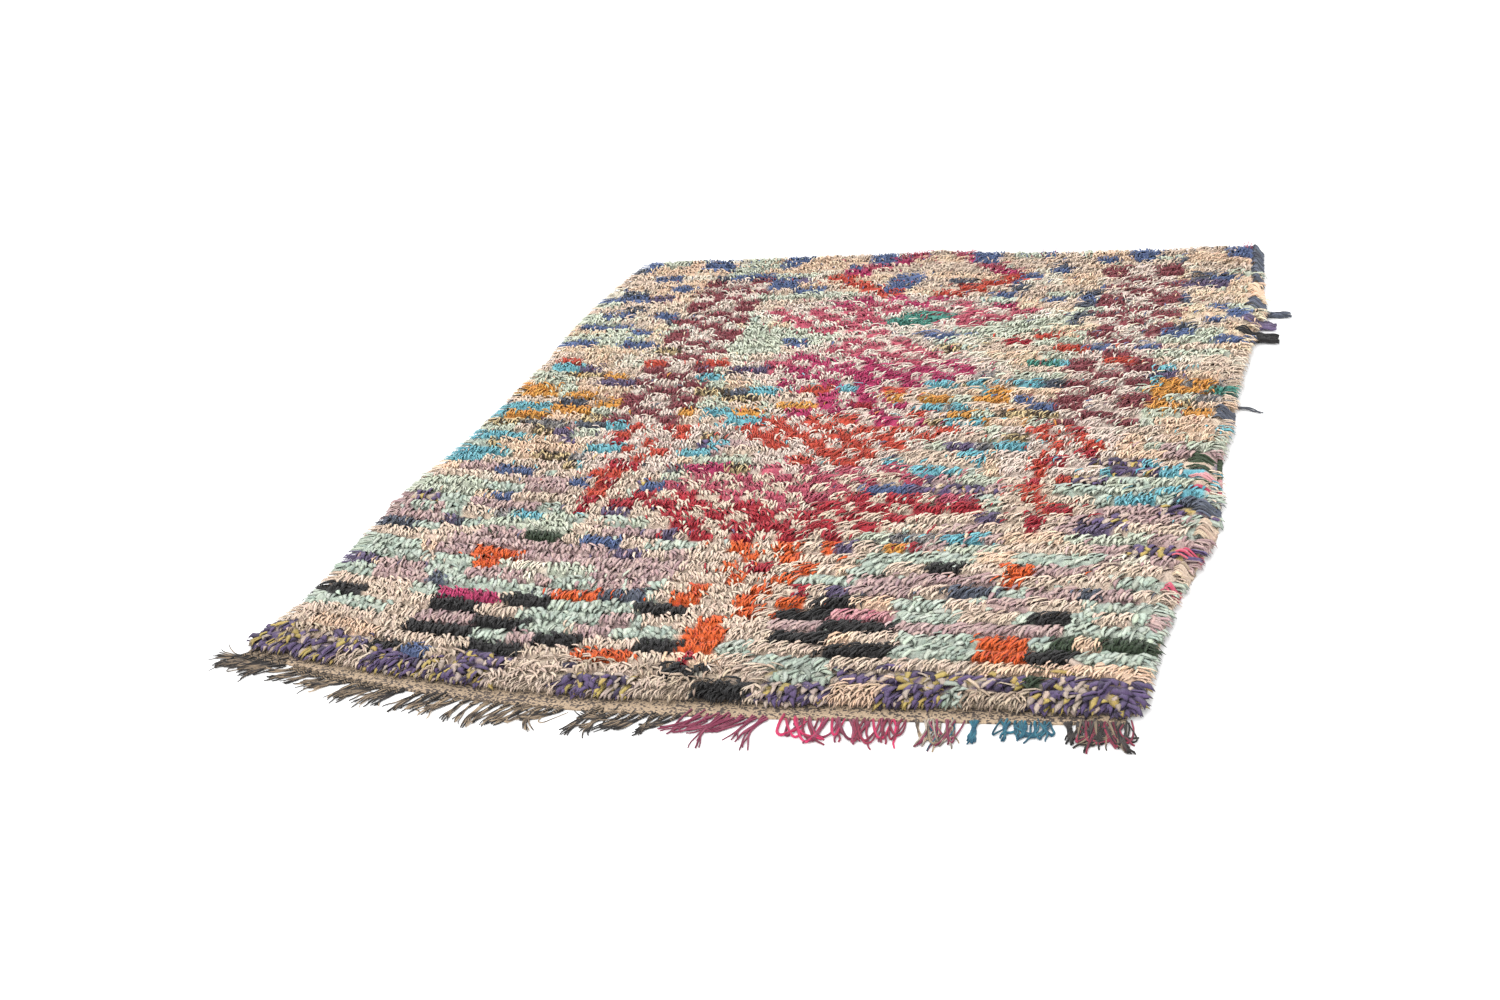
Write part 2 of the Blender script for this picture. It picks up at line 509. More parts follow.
def new_piece(name, points, corners, sizes, uvs, colours, materials, slot, node, rounded=True):
    """Makes a mesh from whole arrays: points, the corners of its faces, the size of each face and UVs."""
    mesh = bpy.data.meshes.new(name)
    mesh.vertices.add(len(points))
    mesh.vertices.foreach_set("co", points.astype(np.float32).ravel())
    mesh.loops.add(len(corners))
    mesh.loops.foreach_set("vertex_index", corners.astype(np.int32))
    mesh.polygons.add(len(sizes))
    starts = np.concatenate(([0], np.cumsum(sizes)[:-1]))
    mesh.polygons.foreach_set("loop_start", starts.astype(np.int32))
    mesh.update(calc_edges=True)
    mesh.validate()
    layer = mesh.uv_layers.new(name="OFBake")
    layer.data.foreach_set("uv", uvs.astype(np.float32).ravel())
    for key, values in colours.items():
        rgba = np.ones((len(points), 4), np.float32)
        rgba[:, :3] = values
        mesh.attributes.new(key, "FLOAT_COLOR", "POINT").data.foreach_set("color", rgba.ravel())
    for mat in materials:
        mesh.materials.append(mat)
    if rounded:
        mesh.shade_smooth()
    piece = bpy.data.objects.new(name, mesh)
    bpy.context.scene.collection.objects.link(piece)
    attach(piece, "root")
    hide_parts(node)
    return piece


def repeat_shape(points, corners, sizes, uvs):
    """Tiles one shape's faces over many sets of points, each with its own square cell of the UV map."""
    count, per_shape = points.shape[:2]
    grid = math.ceil(math.sqrt(count))
    all_corners = corners[None, :] + per_shape * np.arange(count)[:, None]
    cells = np.stack((np.arange(count) % grid, np.arange(count) // grid), axis=1)
    all_uvs = (cells[:, None, :] + 0.04 + 0.92 * uvs[None, :, :]) / grid
    return points.reshape(-1, 3), all_corners.ravel(), np.tile(sizes, count), all_uvs.reshape(-1, 2)


def strip_faces(stations):
    """Faces of a closed strip with a three-cornered section at each station and one point at its tip."""
    corners, uvs, sizes = [], [], []
    sides = ((0, 1, 0.02, 0.34), (1, 2, 0.34, 0.66), (2, 0, 0.68, 0.98))
    for k in range(stations - 1):
        for a, b, ua, ub in sides:
            corners += [3 * k + a, 3 * k + b, 3 * k + 3 + b, 3 * k + 3 + a]
            low, high = k / stations, (k + 1) / stations
            uvs += [(ua, low), (ub, low), (ub, high), (ua, high)]
            sizes.append(4)
    last = 3 * (stations - 1)
    for a, b, ua, ub in sides:
        corners += [last + a, last + b, last + 3]
        uvs += [(ua, 1 - 1 / stations), (ub, 1 - 1 / stations), (0.5 * (ua + ub), 1.0)]
        sizes.append(3)
    corners += [0, 2, 1]
    uvs += [(0.02, 0.0), (0.66, 0.0), (0.34, 0.0)]
    sizes.append(3)
    return np.array(corners), np.array(sizes), np.array(uvs)


# Stations of a strip: share of its reach, of its rise, of its width, and of the section's height
STRIP_REACH = np.array([0.0, 0.42, 0.80])
STRIP_RISE = np.array([0.0, 0.80, 0.98])
STRIP_WIDTH = np.array([0.60, 1.00, 0.76])
LOWEST = 0.0004

# How slack the strips are: curl of the tip and bend in metres, roll in degrees, fold and cut in widths
PILE_CURL = (0.002, 0.008)
RIM_CURL = (0.003, 0.009)
BEND = 0.003
PILE_ROLL = 12
RIM_ROLL = 10
FOLD = (0.04, 0.14)
CUT = 0.5
SINK = 0.25


def strips(root, heading, reach, width, rise, curl, bend, roll, fold, cut):
    """Points of many closed strips.

    A strip leaves its root along its heading, rises as STRIP_RISE says, bends sideways with the
    square of the way along it and curls down at its tip. Its section is a low tent: two edges
    and a fold between them, turned by roll about the strip. Its end is cut aslant, as far aside as
    cut says, in widths.
    """
    ahead = np.stack((-np.sin(heading), -np.cos(heading), 0 * heading), axis=1)
    side = np.stack((-np.cos(heading), np.sin(heading), 0 * heading), axis=1)
    up = np.array([0.0, 0.0, 1.0])
    tilted = side * np.cos(roll)[:, None] + up * np.sin(roll)[:, None]
    crest = up * np.cos(roll)[:, None] - side * np.sin(roll)[:, None]
    way = STRIP_REACH[None, :, None]
    middle = (root[:, None, :] + ahead[:, None, :] * reach[:, None, None] * way
              + side[:, None, :] * bend[:, None, None] * way ** 2)
    middle[:, :, 2] += rise[:, None] * STRIP_RISE
    half = 0.5 * width[:, None, None] * STRIP_WIDTH[None, :, None] * tilted[:, None, :]
    lift = (width * fold)[:, None, None] * STRIP_WIDTH[None, :, None] * crest[:, None, :]
    sections = np.stack((middle - half, middle + lift, middle + half), axis=2)
    tip = root + ahead * reach[:, None] + side * (bend + cut * width)[:, None]
    tip[:, 2] += rise - curl
    points = np.concatenate((sections.reshape(len(root), -1, 3), tip[:, None, :]), axis=1)
    points[:, :, 2] = np.maximum(points[:, :, 2], LOWEST)
    return points


def slackness(chance, count, curl, roll):
    """How each strip curls, bends, rolls, folds and is cut, as strips takes them."""
    return (chance.uniform(*curl, count), BEND * chance.standard_normal(count),
            math.radians(roll) * chance.standard_normal(count), chance.uniform(*FOLD, count),
            chance.uniform(-CUT, CUT, count))


def clear_of_wraps(x, y):
    """True for places that no wrap on the right edge covers."""
    clear = np.ones(len(y), bool)
    for middle, extent, onto, _ in WRAPS:
        clear &= (np.abs(y - middle) > 0.5 * extent) | (x < along(RIGHT_EDGE, y) - onto)
    return clear


def knots(chart, chance):
    """Every rag strip of the pile: its points, cloth, row and colour.

    In each layer the knots are spread evenly across each row, half a step aside in every other
    row, and then disturbed by soft noise and by normal draws. A strip leans towards the ridge
    line from both sides, and its top stands at the crest plus the swell of the pile there, lower
    at the rim and in the deeper layers.
    """
    parts = []
    for per_row, root_place, reach_share, drop in LAYERS:
        rows, columns = (a.ravel() for a in np.meshgrid(np.arange(ROWS), np.arange(per_row), indexing="ij"))
        count = len(rows)
        across = (columns + 0.5 * (rows % 2) + chance.uniform(0.1, 0.9, count)) / (per_row + 0.5)
        across = across.clip(0.002, 0.998)
        root_row = rows + root_place + ROOT_SCATTER * chance.standard_normal(count)
        x, y = on_rug(across, (root_row / ROWS).clip(0, 1))
        pitch = RUG_LENGTH / ROWS
        y += (SHORT_WAVE * wander(x, 3.1 * rows * pitch, 0.09, 6)
              + LONG_WAVE * wander(x, rows * pitch, 0.30, 9))
        lean = LEAN_LEFT + (LEAN_RIGHT - LEAN_LEFT) * smooth(-LEAN_TURN, LEAN_TURN, x - along(RIDGE_LINE, y))
        wild = 1.0 + 1.8 * (rows < 2)
        patch = 17 + 9 * smooth(18, 40, rows)
        heading = (lean + np.radians(patch * wander(x, y + 0.35 * rows, 0.08, 8))
                   + np.radians((12 + 6 * smooth(14, 36, rows)) * wild * chance.standard_normal(count)))
        reach = pitch * reach_share * (1 + REACH_SPREAD * spread(chance, count))
        seen = across - 0.6 * reach * np.sin(heading) / RUG_WIDTH + 0.003 * chance.standard_normal(count)
        seen += STRAY * chance.standard_normal(count) * (chance.random(count) < STRAY_SHARE) * (rows > 6)
        cloths = chart[rows, (seen.clip(0, 0.9999) * CHART_COLUMNS).astype(int)]
        width = CLOTH_WIDTHS[cloths] * chance.uniform(0.7, 1.35, count)
        width *= 1.0 - 0.15 * smooth(10, 30, rows)
        kept = chance.random(count) < KEPT_WIDTH / width
        kept &= clear_of_wraps(x, y) & clear_of_wraps(x - np.sin(heading) * reach, y - 0.7 * reach)
        rim = np.minimum(smooth(0.0, 0.02, across), smooth(0.0, 0.02, 1 - across))
        low = 0.006 + 0.004 * rim - 0.5 * drop
        top = CREST - drop + swell(x, y) - 0.006 * (1 - rim) + 0.0009 * spread(chance, count)
        root = np.stack((x, y, low), axis=1)
        points = strips(root, heading, reach, width, top - low - SINK * width,
                        *slackness(chance, count, PILE_CURL, PILE_ROLL))
        parts.append((points[kept], cloths[kept], rows[kept]))
    parts += rim_locks(chart, chance)
    points, cloths, rows = (np.concatenate(p) for p in zip(*parts))
    return points, cloths, rows, rag_colours(cloths, chance, rows)


# Locks at the rim: from and to across, from and to along, heading in degrees, reach, count
RIM_LOCKS = [
    (0.007, 0.007, 0.003, 0.997, 61, 0.032, 900),
    (0.993, 0.993, 0.003, 0.997, -61, 0.032, 900),
    (0.003, 0.997, 0.9945, 0.9945, 168, 0.024, 620),
    (0.003, 0.997, 0.0100, 0.0100, 16, 0.038, 460),
    (0.003, 0.997, 0.0040, 0.0040, 8, 0.025, 340),
]
RIM_ROOT = 0.004
RIM_INSET = 0.022
RIM_SLOPE = 0.32
RIM_TOP = 0.0135


def rim_locks(chart, chance):
    """Strips that hang over the rim: rooted along a line just inside it and pointing outwards.

    Each starts up to RIM_INSET further in, and stands higher there by RIM_SLOPE times that.
    """
    parts = []
    for left, right, near, far, turn, reach, count in RIM_LOCKS:
        share = (np.arange(count) + chance.uniform(0, 1, count)) / count
        across, length = left + (right - left) * share, near + (far - near) * share
        x, y = on_rug(across, length)
        rows = (length * ROWS).astype(int).clip(0, ROWS - 1)
        cloths = chart[rows, ((across + 0.003 * chance.standard_normal(count)).clip(0, 0.9999)
                              * CHART_COLUMNS).astype(int)]
        wide = CLOTH_WIDTHS[cloths]
        free = chance.random(count) < 1.5 * KEPT_WIDTH / wide
        if left > 0.9:
            free &= clear_of_wraps(x + RIM_INSET, y)
        heading = np.radians(turn + 13 * spread(chance, count))
        inset = RIM_INSET * chance.random(count)
        x, y = x + np.sin(heading) * inset, y + np.cos(heading) * inset
        width = wide * chance.uniform(0.6, 1.1, count)
        top = RIM_TOP + RIM_SLOPE * inset + 0.0012 * spread(chance, count)
        points = strips(np.stack((x, y, np.full(count, RIM_ROOT)), axis=1), heading,
                        inset + reach * chance.uniform(0.72, 1.04, count), width,
                        top - RIM_ROOT - SINK * width, *slackness(chance, count, RIM_CURL, RIM_ROLL))
        parts.append((points[free], cloths[free], rows[free]))
    return parts


def cloth_material(name, roughness=0.95, sheen=0.12):
    """An empty cloth material: its node tree, a function that adds nodes, and its shader."""
    mat = bpy.data.materials.new(name)
    mat.use_nodes = True
    tree = mat.node_tree
    shader = tree.nodes["Principled BSDF"]
    shader.inputs["Roughness"].default_value = roughness
    shader.inputs["Sheen Weight"].default_value = sheen
    shader.inputs["Sheen Roughness"].default_value = 0.6
    shader.inputs["Specular IOR Level"].default_value = 0.2
    return mat, tree, shader


def add_node(tree, kind, inputs=None, **settings):
    """Adds one node; inputs are values or other nodes' outputs, settings are its properties."""
    node = tree.nodes.new(kind)
    for key, value in settings.items():
        setattr(node, key, value)
    for key, value in (inputs or {}).items():
        if isinstance(value, bpy.types.NodeSocket):
            tree.links.new(value, node.inputs[key])
        else:
            node.inputs[key].default_value = value
    return node


def stretched_noise(tree, scale, detail=3.0):
    """Noise on Object coordinates, with its own scale along each axis."""
    where = add_node(tree, "ShaderNodeTexCoord").outputs["Object"]
    mapped = add_node(tree, "ShaderNodeMapping", {"Vector": where, "Scale": scale})
    inputs = {"Vector": mapped.outputs[0], "Scale": 1.0, "Detail": detail}
    return add_node(tree, "ShaderNodeTexNoise", inputs).outputs[0]


def maths(tree, kind, *values):
    """The outcome of one sum on values or other nodes' outputs."""
    return add_node(tree, "ShaderNodeMath", dict(enumerate(values)), operation=kind).outputs[0]


def remap(tree, value, low, high, to_low, to_high):
    """Value between low and high, taken to between to_low and to_high."""
    inputs = {"Value": value, "From Min": low, "From Max": high, "To Min": to_low, "To Max": to_high}
    return add_node(tree, "ShaderNodeMapRange", inputs).outputs[0]


def shade(tree, colour, factor):
    """Colour times a grey factor."""
    mix = add_node(tree, "ShaderNodeVectorMath", {0: colour, 1: factor}, operation="MULTIPLY")
    return mix.outputs[0]


def bumped(tree, shader, height, distance):
    """Raises the surface by a height, in metres at full height."""
    bump = add_node(tree, "ShaderNodeBump", {"Height": height, "Distance": distance, "Strength": 1.0})
    tree.links.new(bump.outputs[0], shader.inputs["Normal"])


def rag_material(name, crease, pull, weave):
    """Torn cloth: its colour comes with each rag, creases run along the rag and pull its colour darker."""
    mat, tree, shader = cloth_material(name)
    colour = add_node(tree, "ShaderNodeAttribute", attribute_name="rag_colour").outputs["Color"]
    creases = stretched_noise(tree, (520, 130, 420))
    threads = stretched_noise(tree, (weave, weave, weave), 1.0)
    fading = stretched_noise(tree, (9, 9, 9), 2.0)
    dark = remap(tree, creases, 0.32, 0.62, 1 - crease, 1.04)
    worn = remap(tree, fading, 0.3, 0.7, 0.94, 1.05)
    both = maths(tree, "MULTIPLY", dark, worn)
    tree.links.new(shade(tree, colour, both), shader.inputs["Base Color"])
    bumped(tree, shader, maths(tree, "MULTIPLY_ADD", creases, 3.0, threads), pull)
    return mat


def ground_material():
    """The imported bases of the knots: the rags' own colours, in the shade of the pile, with deep creases."""
    mat, tree, shader = cloth_material("knot_bases")
    colour = add_node(tree, "ShaderNodeAttribute", attribute_name="rag_colour").outputs["Color"]
    creases = stretched_noise(tree, (300, 160, 300))
    dark = remap(tree, creases, 0.3, 0.65, 0.62, 0.98)
    tree.links.new(shade(tree, colour, dark), shader.inputs["Base Color"])
    bumped(tree, shader, creases, 0.004)
    return mat


def woven_material(name, pale, dark, share):
    """Plain weave of marled yarn: each stitch a cell, a share of them dark, with hollows between."""
    mat, tree, shader = cloth_material(name)
    where = add_node(tree, "ShaderNodeTexCoord").outputs["Object"]
    stitches = add_node(tree, "ShaderNodeMapping", {"Vector": where, "Scale": (270, 430, 1)}).outputs[0]
    cells = add_node(tree, "ShaderNodeTexVoronoi", {"Vector": stitches, "Scale": 1.0, "Randomness": 0.6})
    pick = add_node(tree, "ShaderNodeSeparateColor", {"Color": cells.outputs["Color"]}).outputs[0]
    patches = stretched_noise(tree, (7, 30, 1), 2.0)
    limit = remap(tree, patches, 0.35, 0.65, 0.5 * share, 1.6 * share)
    is_dark = maths(tree, "LESS_THAN", pick, limit)
    inputs = {"Factor": is_dark, "A": (*linear(pale), 1), "B": (*linear(dark), 1)}
    mix = add_node(tree, "ShaderNodeMix", inputs, data_type="RGBA")
    hollow = remap(tree, cells.outputs["Distance"], 0.25, 0.75, 1.0, 0.66)
    tree.links.new(shade(tree, mix.outputs["Result"], hollow), shader.inputs["Base Color"])
    bumped(tree, shader, hollow, 0.0012)
    return mat


def yarn_material():
    """Plied yarn: two colours wound round each other along the strand, with the grooves between the plies."""
    mat, tree, shader = cloth_material("plied_yarn", sheen=0.1)
    first = add_node(tree, "ShaderNodeAttribute", attribute_name="first_ply").outputs["Color"]
    second = add_node(tree, "ShaderNodeAttribute", attribute_name="second_ply").outputs["Color"]
    turn = add_node(tree, "ShaderNodeAttribute", attribute_name="ply_turn").outputs["Color"]
    turns = add_node(tree, "ShaderNodeSeparateColor", {"Color": turn})
    wave = maths(tree, "SINE", maths(tree, "MULTIPLY", turns.outputs[0], 6.2832))
    share = remap(tree, wave, 0.0, 0.4, 0.0, 1.0)
    mix = add_node(tree, "ShaderNodeMix", {"Factor": share, "A": first, "B": second}, data_type="RGBA")
    fibres = stretched_noise(tree, (900, 900, 900), 2.0)
    fuzz = remap(tree, fibres, 0.3, 0.7, 0.75, 1.15)
    tree.links.new(shade(tree, mix.outputs["Result"], fuzz), shader.inputs["Base Color"])
    bumped(tree, shader, fibres, 0.0008)
    return mat


def lay_pile(chart, chance):
    """The pile, as one piece for each family of cloths, within a share of the rows."""
    points, cloths, rows, colours = knots(chart, chance)
    corners, sizes, uvs = strip_faces(len(STRIP_REACH))
    looks = {
        "rags_cream_near": rag_material("cotton_rags", 0.16, 0.0006, 1400),
        "rags_mint": rag_material("jersey_rags", 0.14, 0.0006, 1700),
        "rags_red": rag_material("wool_rags", 0.30, 0.0009, 1100),
        "rags_dark": rag_material("dyed_rags", 0.30, 0.0009, 1200),
        "rags_print": rag_material("printed_rags", 0.26, 0.0007, 1500),
    }
    looks["rags_cream_far"] = looks["rags_cream_near"]
    made = []
    for name, (names, low, high) in PIECES.items():
        wanted = [NAMES.index(n) for n in names.split()]
        mine = np.flatnonzero(np.isin(cloths, wanted) & (rows >= low) & (rows < high))
        shape = repeat_shape(points[mine], corners, sizes, uvs)
        per_point = np.repeat(colours[mine], points.shape[1], axis=0)
        made.append(new_piece(name, *shape, {"rag_colour": per_point}, [looks[name]], "rag_pile",
                              "pile_field", rounded=False))
    return made


# Loose threads at the far edge: middle across, spread across, count, cloth
THREADS = [(0.500, 0.030, 12, "rose"), (0.690, 0.030, 5, "magenta"), (0.985, 0.010, 7, "rose")]
THREAD_STATIONS = 6
THREAD_SIDES = 4
THREAD_RADIUS = 0.0006


def lay_threads(chance):
    """Loose threads out of the pile at its far edge: they rise as a sine and lean with the way ** 1.5."""
    middle, spread, count, cloth = zip(*THREADS)
    owner = np.repeat(np.arange(len(THREADS)), count)
    size = (len(owner), 1)
    across = np.array(middle)[owner] + np.array(spread)[owner] * chance.uniform(-1, 1, len(owner))
    x, y = on_rug(across.clip(0.01, 0.99), np.full(len(owner), 0.992))
    way = np.linspace(0, 1, THREAD_STATIONS)[None, :]
    lean = chance.uniform(-0.010, 0.010, size)
    path = np.stack((x[:, None] + lean * way ** 1.5, y[:, None] + chance.uniform(0.0, 0.010, size) * way,
                     0.014 + (0.022 * chance.uniform(0.6, 1.0, size)) * np.sin(1.6 * way)), axis=2)
    radius = THREAD_RADIUS * (1.1 - 0.5 * way)[..., None] * np.ones((len(owner), 1, 1))
    shape = tube_shape(path, radius, radius, THREAD_SIDES)
    colours = rag_colours(np.array([NAMES.index(cloth[i]) for i in owner]), chance)
    look = rag_material("loose_threads", 0.2, 0.0003, 1500)
    per_point = np.repeat(colours, THREAD_STATIONS * THREAD_SIDES, axis=0)
    return [new_piece("far_edge_threads", *shape, {"rag_colour": per_point}, [look], "rag_pile",
                      "pile_field")]


def slab(x, y, top, bottom=0.0):
    """A closed sheet on a grid: its top, the same grid at the bottom turned over, and a wall round the rim.

    Gives points, corners of the four-cornered faces, face sizes and UVs: the top takes the lower
    part of the map, the bottom the upper part, and the wall a narrow strip between them.
    """
    wide, long = x.shape
    above = np.stack((x, y, top), axis=2).reshape(-1, 3)
    below = np.stack((x, y, np.full_like(x, bottom)), axis=2).reshape(-1, 3)
    index = np.arange(wide * long).reshape(wide, long)
    quad = np.stack((index[:-1, :-1], index[1:, :-1], index[1:, 1:], index[:-1, 1:]), axis=2).reshape(-1, 4)
    u, v = np.meshgrid(np.linspace(0.01, 0.99, wide), np.linspace(0.0, 1.0, long), indexing="ij")
    top_uv = np.stack((u, 0.01 + 0.60 * v), axis=2).reshape(-1, 2)
    low_uv = np.stack((u, 0.65 + 0.34 * v), axis=2).reshape(-1, 2)
    rim = np.concatenate((index[:, 0], index[-1, 1:], index[-2::-1, -1], index[0, -2:0:-1]))
    after = np.roll(rim, -1)
    count = wide * long
    wall = np.stack((rim, rim + count, after + count, after), axis=1)
    across = np.linspace(0.01, 0.98, len(rim))
    step = 0.9 / len(rim)
    wall_uv = np.stack((np.stack((across, across, across + step, across + step), axis=1),
                        np.tile([0.635, 0.625, 0.625, 0.635], (len(rim), 1))), axis=2)
    corners = np.concatenate((quad.ravel(), (quad[:, ::-1] + count).ravel(), wall.ravel()))
    uvs = np.concatenate((top_uv[quad.ravel()], low_uv[quad[:, ::-1].ravel()], wall_uv.reshape(-1, 2)))
    sizes = np.full(2 * len(quad) + len(rim), 4)
    return np.concatenate((above, below)), corners, sizes, uvs


GROUND_COLUMNS = 140
GROUND_DEPTH = 0.0055
GROUND_SHADE = 0.95
UNDERSIDE = (150, 132, 112)


def lay_ground(chart, chance):
    """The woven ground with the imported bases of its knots: a ridge for each row, below the strips' tops."""
    lines = (np.arange(ROWS)[:, None] + np.array([0.0, TIP_STEP, 0.6])[None, :]).ravel() / ROWS
    lines = np.append(lines, 1.0)
    across, length = np.meshgrid(np.linspace(0, 1, GROUND_COLUMNS + 1), lines, indexing="ij")
    x, y = on_rug(across, length)
    phase = np.append(np.tile([0.0, 1.0, 0.45], ROWS), 0.0)[None, :]
    top = TROUGH + (CREST - TROUGH) * phase + swell(x, y) - GROUND_DEPTH
    rim = np.minimum(smooth(0, 0.015, across), smooth(0, 0.015, 1 - across))
    rim = rim * np.minimum(smooth(0, 0.012, length), smooth(0, 0.012, 1 - length))
    top = 0.007 + (top - 0.007) * rim
    shape = slab(x, y, top)
    rows = np.clip((length * ROWS).astype(int), 0, ROWS - 1)
    cloths = chart[rows, (across * (CHART_COLUMNS - 1)).astype(int)].ravel()
    colours = rag_colours(cloths, chance, rows) * GROUND_SHADE
    colours = np.concatenate((colours, np.tile(linear(UNDERSIDE), (len(colours), 1))))
    return new_piece("pile_ground", *shape, {"rag_colour": colours}, [ground_material()], "rag_pile",
                     "pile_field")


# Weaves of the bands: pale yarn, dark yarn, share of the dark one
MARLED_WEAVE = ((180, 157, 131), (84, 73, 67), 0.30)
WOOL_WEAVE = ((200, 178, 154), (130, 110, 96), 0.2)
TWINE_TURN = 0.007


def lay_bands():
    """The woven end bands: twined rows run along them, with a ripple for each turn of yarn.

    The height is the band's own times 0.62 and 0.38 of the twine, which is a rectified sine across
    the band, one half wave for each twined row, times a sine along it.
    """
    made = []
    across = np.linspace(LEFT_EDGE[0][1] + GAP, RIGHT_EDGE[0][1] - GAP, 481)
    x, part = np.meshgrid(across, np.linspace(1.0, 0.0, 13), indexing="ij")
    y = along(NEAR_EDGE, x) - GAP - part * along(BAND_NEAR, x)
    ripple = 0.75 + 0.25 * np.sin(x * 2 * math.pi / TWINE_TURN + part * 9)
    twine = np.abs(np.sin(part * math.pi * 5)) * ripple
    near = slab(x, y, BAND_HEIGHT * (0.62 + 0.38 * twine))
    made.append(new_piece("near_band_weave", *near, {}, [woven_material("marled_weave", *MARLED_WEAVE)],
                          "marled_warp", "near_fringe"))
    share, part = np.meshgrid(np.linspace(0, 1, 321), np.linspace(0.0, 1.0, 9), indexing="ij")
    x, y = on_rug(share, np.ones_like(share))
    y = y + GAP + part * BAND_FAR
    ripple = 0.75 + 0.25 * np.sin(x * 2 * math.pi / TWINE_TURN + part * 9)
    twine = np.abs(np.sin(part * math.pi * 4)) * ripple
    far = slab(x, y, BAND_HEIGHT * (0.62 + 0.38 * twine))
    made.append(new_piece("far_band_weave", *far, {}, [woven_material("wool_weave", *WOOL_WEAVE)],
                          "woven_wool", "far_band"))
    return made


def tube_faces(stations, sides):
    """Faces of a closed tube: four-cornered ones along it and one at each end."""
    k, j = (a.ravel() for a in np.meshgrid(np.arange(stations - 1), np.arange(sides), indexing="ij"))
    after = (j + 1) % sides
    quads = np.stack((k * sides + j, (k + 1) * sides + j, (k + 1) * sides + after, k * sides + after), axis=1)
    u0, u1 = j / sides, (j + 1) / sides
    v0, v1 = 0.04 + 0.92 * k / (stations - 1), 0.04 + 0.92 * (k + 1) / (stations - 1)
    uvs = np.stack((np.stack((u0, u0, u1, u1), axis=1), np.stack((v0, v1, v1, v0), axis=1)), axis=2)
    first = np.arange(sides)
    last = (stations - 1) * sides + np.arange(sides)[::-1]
    corners = np.concatenate((quads.ravel(), first, last))
    sizes = np.concatenate((np.full(len(quads), 4), [sides, sides]))
    around = np.linspace(0.0, 1.0, sides)
    cap_uvs = np.concatenate((np.stack((around, 0.02 * (around > 0.5)), axis=1),
                              np.stack((around, 0.97 + 0.02 * (around > 0.5)), axis=1)))
    return corners, sizes, np.concatenate((uvs.reshape(-1, 2), cap_uvs))


def tubes(path, half_width, half_height, sides):
    """Points of many closed tubes: an oval section carried along each path, level across it."""
    ahead = np.gradient(path, axis=1)
    ahead /= np.linalg.norm(ahead, axis=2, keepdims=True)
    side = np.cross(ahead, [0.0, 0.0, 1.0])
    side /= np.linalg.norm(side, axis=2, keepdims=True)
    up = np.cross(side, ahead)
    angle = 2 * math.pi * np.arange(sides) / sides
    out = (side[:, :, None, :] * (half_width * np.cos(angle))[..., None]
           + up[:, :, None, :] * (half_height * np.sin(angle))[..., None])
    points = path[:, :, None, :] + out
    return points.reshape(len(path), -1, 3)


def tube_shape(path, half_width, half_height, sides):
    """Many closed tubes with their faces and UVs, as new_piece takes them."""
    return repeat_shape(tubes(path, half_width, half_height, sides), *tube_faces(path.shape[1], sides))


STRAND_STATIONS = 14
STRAND_SIDES = 5
YARN_RADIUS = 0.0012
STRAND_TWIST = 2.6
PLY_TURN = 0.11
BUNCH_BEND = 16
GATHER = [(0.0, 0.0056), (0.25, 0.0016), (0.70, 0.0023), (1.0, 0.0034)]
KNOT_SWELLINGS = [0.35, 0.85, 1.0, 0.86, 1.0, 0.8, 0.4]
KNOT_SIDES = 8
KNOT_WIDTH = 0.0034
KNOT_HEIGHT = 0.0026
KNOT_LIFT = 0.0031


def bunches():
    """Root x, lean in radians and length of each bunch of fringe, as in the part, and the rest of its run."""
    chance = random.Random(SEED)
    places = []
    for start, end, count, lean, reach, *rest in FRINGE_RUNS:
        for i in range(count):
            x = start + (end - start) * (i + 0.5) / count
            places.append((x, math.radians(lean), reach * chance.uniform(0.86, 1.08), *rest))
    return places


def plied(first, second, per_shape, turns):
    """Colours of the two plies of each strand at its points, and how far the plies have turned there."""
    return {"first_ply": np.repeat(first, per_shape, axis=0),
            "second_ply": np.repeat(second, per_shape, axis=0),
            "ply_turn": np.tile(turns, len(first))[:, None] * np.ones(3)}


def strand_paths(x, y, lean, reach, thick, owner, place, looped, chance):
    """Middle lines of the strands of all bunches.

    A strand runs out along its bunch's lean, which bends with the way. Its distance from the
    bunch's middle follows GATHER while it winds round it. A loop goes out and comes back like half
    a wave. All wave a little and lie on the floor.
    """
    count = len(owner)
    size = (count, 1)
    way = np.linspace(0, 1, STRAND_STATIONS)[None, :]
    stray = np.where(chance.random(size) < 0.12, 20, 5) * chance.standard_normal(size)
    bend = (BUNCH_BEND * chance.standard_normal(len(x)))[owner][:, None]
    turn = (lean[owner][:, None] + np.radians((bend + stray) * way) * (1 - looped[:, None])
            + np.radians(14) * chance.standard_normal(size) * looped[:, None])
    phase = 2 * math.pi * place[:, None] + STRAND_TWIST * way
    off = np.where(looped[:, None], (way - 0.5) * chance.uniform(0.010, 0.042, size),
                   along(GATHER, way) * np.cos(phase))
    off = off + 0.0014 * way * np.sin(way * chance.uniform(6, 16, size) + 6 * chance.random(size))
    out = reach[owner][:, None] * chance.uniform(0.72, 1.0, size)
    out = out * np.where(looped[:, None], 0.74 * np.sin(math.pi * way) ** 0.7, way)
    height = (1.4 * YARN_RADIUS * thick[owner][:, None]
              + 0.35 * along(GATHER, way) * (1 + np.sin(phase)) * (1 - 0.5 * way))
    return np.stack((x[owner][:, None] - np.sin(turn) * out + np.cos(turn) * off,
                     y[owner][:, None] - np.cos(turn) * out - np.sin(turn) * off, height), axis=2)


